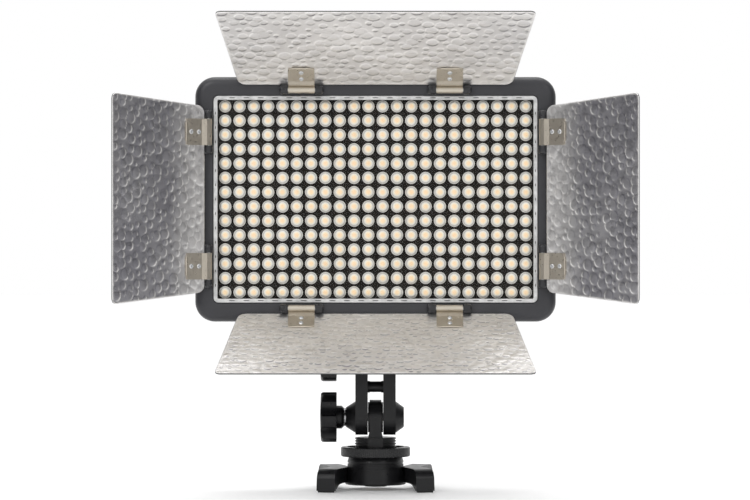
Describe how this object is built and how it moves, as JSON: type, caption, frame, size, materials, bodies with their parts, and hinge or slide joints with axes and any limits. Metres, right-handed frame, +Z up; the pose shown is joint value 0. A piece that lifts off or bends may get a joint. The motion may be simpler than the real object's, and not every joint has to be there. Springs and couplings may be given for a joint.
{
  "type": "led panel light",
  "caption": "Flat LED video light with folding barn doors, on a double-jointed bracket with clamp knobs and a small legged stand.",
  "frame": {"origin": "on the ground under the middle of the stand; the mouth of the stand's camera thread is 1.8 mm above it, on the same axis", "axes": "+Z up, the light shines towards -Y, +X to the right as seen from in front of the light"},
  "size_m": [0.3038, 0.1074, 0.2789],
  "materials": {
    "casing": "fine-textured charcoal moulding, satin",
    "clear_cover": "clear polished cover",
    "led_board": "brown-black solder mask, satin",
    "leds": "clear domes over cream phosphor in pale cups",
    "heat_sink": "plain extruded",
    "screws": "plated",
    "control_board": "green solder mask",
    "ribbon": "flexible strip",
    "display": "grey-green liquid crystal",
    "display_window": "smoked, polished",
    "battery_plate": "fine-textured black",
    "contacts": "gold-coloured plating",
    "latch": "red moulding",
    "spring": "bright wire",
    "switch": "polished black",
    "dial": "fluted black",
    "buttons": "grey moulding",
    "socket": "black moulding",
    "brass_inserts": "turned",
    "hinge_lugs": "black moulding, satin",
    "hinge_pins": "drawn wire",
    "door_sheet": "pebble-embossed sheet, soft satin",
    "hinge_clips": "warm nickel-coloured, satin",
    "rivets": "bright tubular",
    "bracket": "glass-filled black moulding, satin",
    "bolts": "plated",
    "washers": "bright",
    "knobs": "black moulding, satin",
    "knurled_rings": "black, satin",
    "shoe_foot": "black, satin",
    "stand": "black moulding, satin",
    "rubber_pads": "matt"
  },
  "bodies": {
    "stand": {"stand_base": "stand", "stand_insert": "brass_inserts", "stand_pads": "rubber_pads", "shoe_receiver": "stand"},
    "shoe": {"shoe_foot": "shoe_foot", "lower_tongue": "bracket"},
    "ring_nut": {"ring_nut": "knurled_rings"},
    "link": {"link_arm_left": "bracket", "link_arm_right": "bracket", "link_spacer": "bracket", "link_washers": "washers", "link_nuts": "bolts"},
    "lower_clamp": {"lower_knob": "knobs", "lower_bolt": "bolts"},
    "upper_clamp": {"upper_knob": "knobs", "upper_bolt": "bolts"},
    "lamp_mount": {"upper_tongue": "bracket", "mount_stud": "bolts"},
    "lock_ring": {"lock_ring": "knurled_rings", "lock_pad": "rubber_pads"},
    "lamp": {"front_bezel": "casing", "rear_housing": "casing", "clear_cover": "clear_cover", "led_board": "led_board", "led_emitters": "leds", "heat_sink": "heat_sink", "heat_sink_screws": "screws", "control_board": "control_board", "control_board_screws": "screws", "led_ribbon": "ribbon", "lcd_display": "display", "lcd_window": "display_window", "battery_plate": "battery_plate", "battery_contacts": "contacts", "latch_spring": "spring", "dc_socket": "socket", "dc_pin": "contacts", "base_insert": "brass_inserts", "housing_screws": "screws", "hinge_lugs": "hinge_lugs", "hinge_pins": "hinge_pins"},
    "battery_latch": {"battery_latch": "latch"},
    "power_rocker": {"power_rocker": "switch"},
    "dimmer_dial": {"dimmer_dial": "dial"},
    "button_mode": {"button_mode": "buttons"},
    "button_channel": {"button_channel": "buttons"},
    "button_down": {"button_down": "buttons"},
    "button_up": {"button_up": "buttons"},
    "top_door": {"top_door_panel": "door_sheet", "top_door_clips": "hinge_clips", "top_door_rivets": "rivets"},
    "bottom_door": {"bottom_door_panel": "door_sheet", "bottom_door_clips": "hinge_clips", "bottom_door_rivets": "rivets"},
    "left_door": {"left_door_panel": "door_sheet", "left_door_clips": "hinge_clips", "left_door_rivets": "rivets"},
    "right_door": {"right_door_panel": "door_sheet", "right_door_clips": "hinge_clips", "right_door_rivets": "rivets"}
  },
  "joints": [
    {"name": "shoe_slide", "type": "slide", "parent": "stand", "child": "shoe", "axis": [0, 1, 0], "range_m": [0, 0.02]},
    {"name": "ring_nut_turn", "type": "hinge", "parent": "shoe", "child": "ring_nut", "pos_m": [0, 0, 0.022], "axis": [0, 0, 1], "continuous": true},
    {"name": "link_tilt", "type": "hinge", "parent": "shoe", "child": "link", "pos_m": [0, 0, 0.0427], "axis": [-1, 0, 0], "range_deg": [-45, 45]},
    {"name": "lower_clamp_turn", "type": "hinge", "parent": "link", "child": "lower_clamp", "pos_m": [0, 0, 0.0427], "axis": [-1, 0, 0], "continuous": true},
    {"name": "upper_clamp_turn", "type": "hinge", "parent": "link", "child": "upper_clamp", "pos_m": [0, 0, 0.0787], "axis": [-1, 0, 0], "continuous": true},
    {"name": "lamp_tilt", "type": "hinge", "parent": "link", "child": "lamp_mount", "pos_m": [0, 0, 0.0787], "axis": [1, 0, 0], "range_deg": [-90, 45]},
    {"name": "lock_ring_turn", "type": "hinge", "parent": "lamp_mount", "child": "lock_ring", "pos_m": [0, 0, 0.0957], "axis": [0, 0, 1], "continuous": true},
    {"name": "lamp_pan", "type": "hinge", "parent": "lamp_mount", "child": "lamp", "pos_m": [0, 0, 0.0996], "axis": [0, 0, 1], "range_deg": [0, 180]},
    {"name": "top_door_hinge", "type": "hinge", "parent": "lamp", "child": "top_door", "pos_m": [0, -0.0236, 0.23551], "axis": [1, 0, 0], "range_deg": [-45, 130]},
    {"name": "bottom_door_hinge", "type": "hinge", "parent": "lamp", "child": "bottom_door", "pos_m": [0, -0.0236, 0.10755], "axis": [-1, 0, 0], "range_deg": [-52, 122]},
    {"name": "left_door_hinge", "type": "hinge", "parent": "lamp", "child": "left_door", "pos_m": [-0.09781, -0.0236, 0.17153], "axis": [0, 0, 1], "range_deg": [-31, 144]},
    {"name": "right_door_hinge", "type": "hinge", "parent": "lamp", "child": "right_door", "pos_m": [0.09781, -0.0236, 0.17153], "axis": [0, 0, -1], "range_deg": [-31, 144]},
    {"name": "battery_latch_slide", "type": "slide", "parent": "lamp", "child": "battery_latch", "axis": [0, 0, 1], "range_m": [0, 0.003], "stiffness_N_per_m": 300, "springref_m": -0.002, "deforming": ["latch_spring"]},
    {"name": "power_rocker_tilt", "type": "hinge", "parent": "lamp", "child": "power_rocker", "pos_m": [0.066, 0.0135, 0.16753], "axis": [1, 0, 0], "range_deg": [0, 14]},
    {"name": "dimmer_turn", "type": "hinge", "parent": "lamp", "child": "dimmer_dial", "pos_m": [0.066, 0.02, 0.19753], "axis": [0, -1, 0], "range_deg": [0, 290]},
    {"name": "button_mode_press", "type": "slide", "parent": "lamp", "child": "button_mode", "axis": [0, -1, 0], "range_m": [0, 0.0012], "stiffness_N_per_m": 800, "springref_m": -0.0005},
    {"name": "button_channel_press", "type": "slide", "parent": "lamp", "child": "button_channel", "axis": [0, -1, 0], "range_m": [0, 0.0012], "stiffness_N_per_m": 800, "springref_m": -0.0005},
    {"name": "button_down_press", "type": "slide", "parent": "lamp", "child": "button_down", "axis": [0, -1, 0], "range_m": [0, 0.0012], "stiffness_N_per_m": 800, "springref_m": -0.0005},
    {"name": "button_up_press", "type": "slide", "parent": "lamp", "child": "button_up", "axis": [0, -1, 0], "range_m": [0, 0.0012], "stiffness_N_per_m": 800, "springref_m": -0.0005}
  ]
}
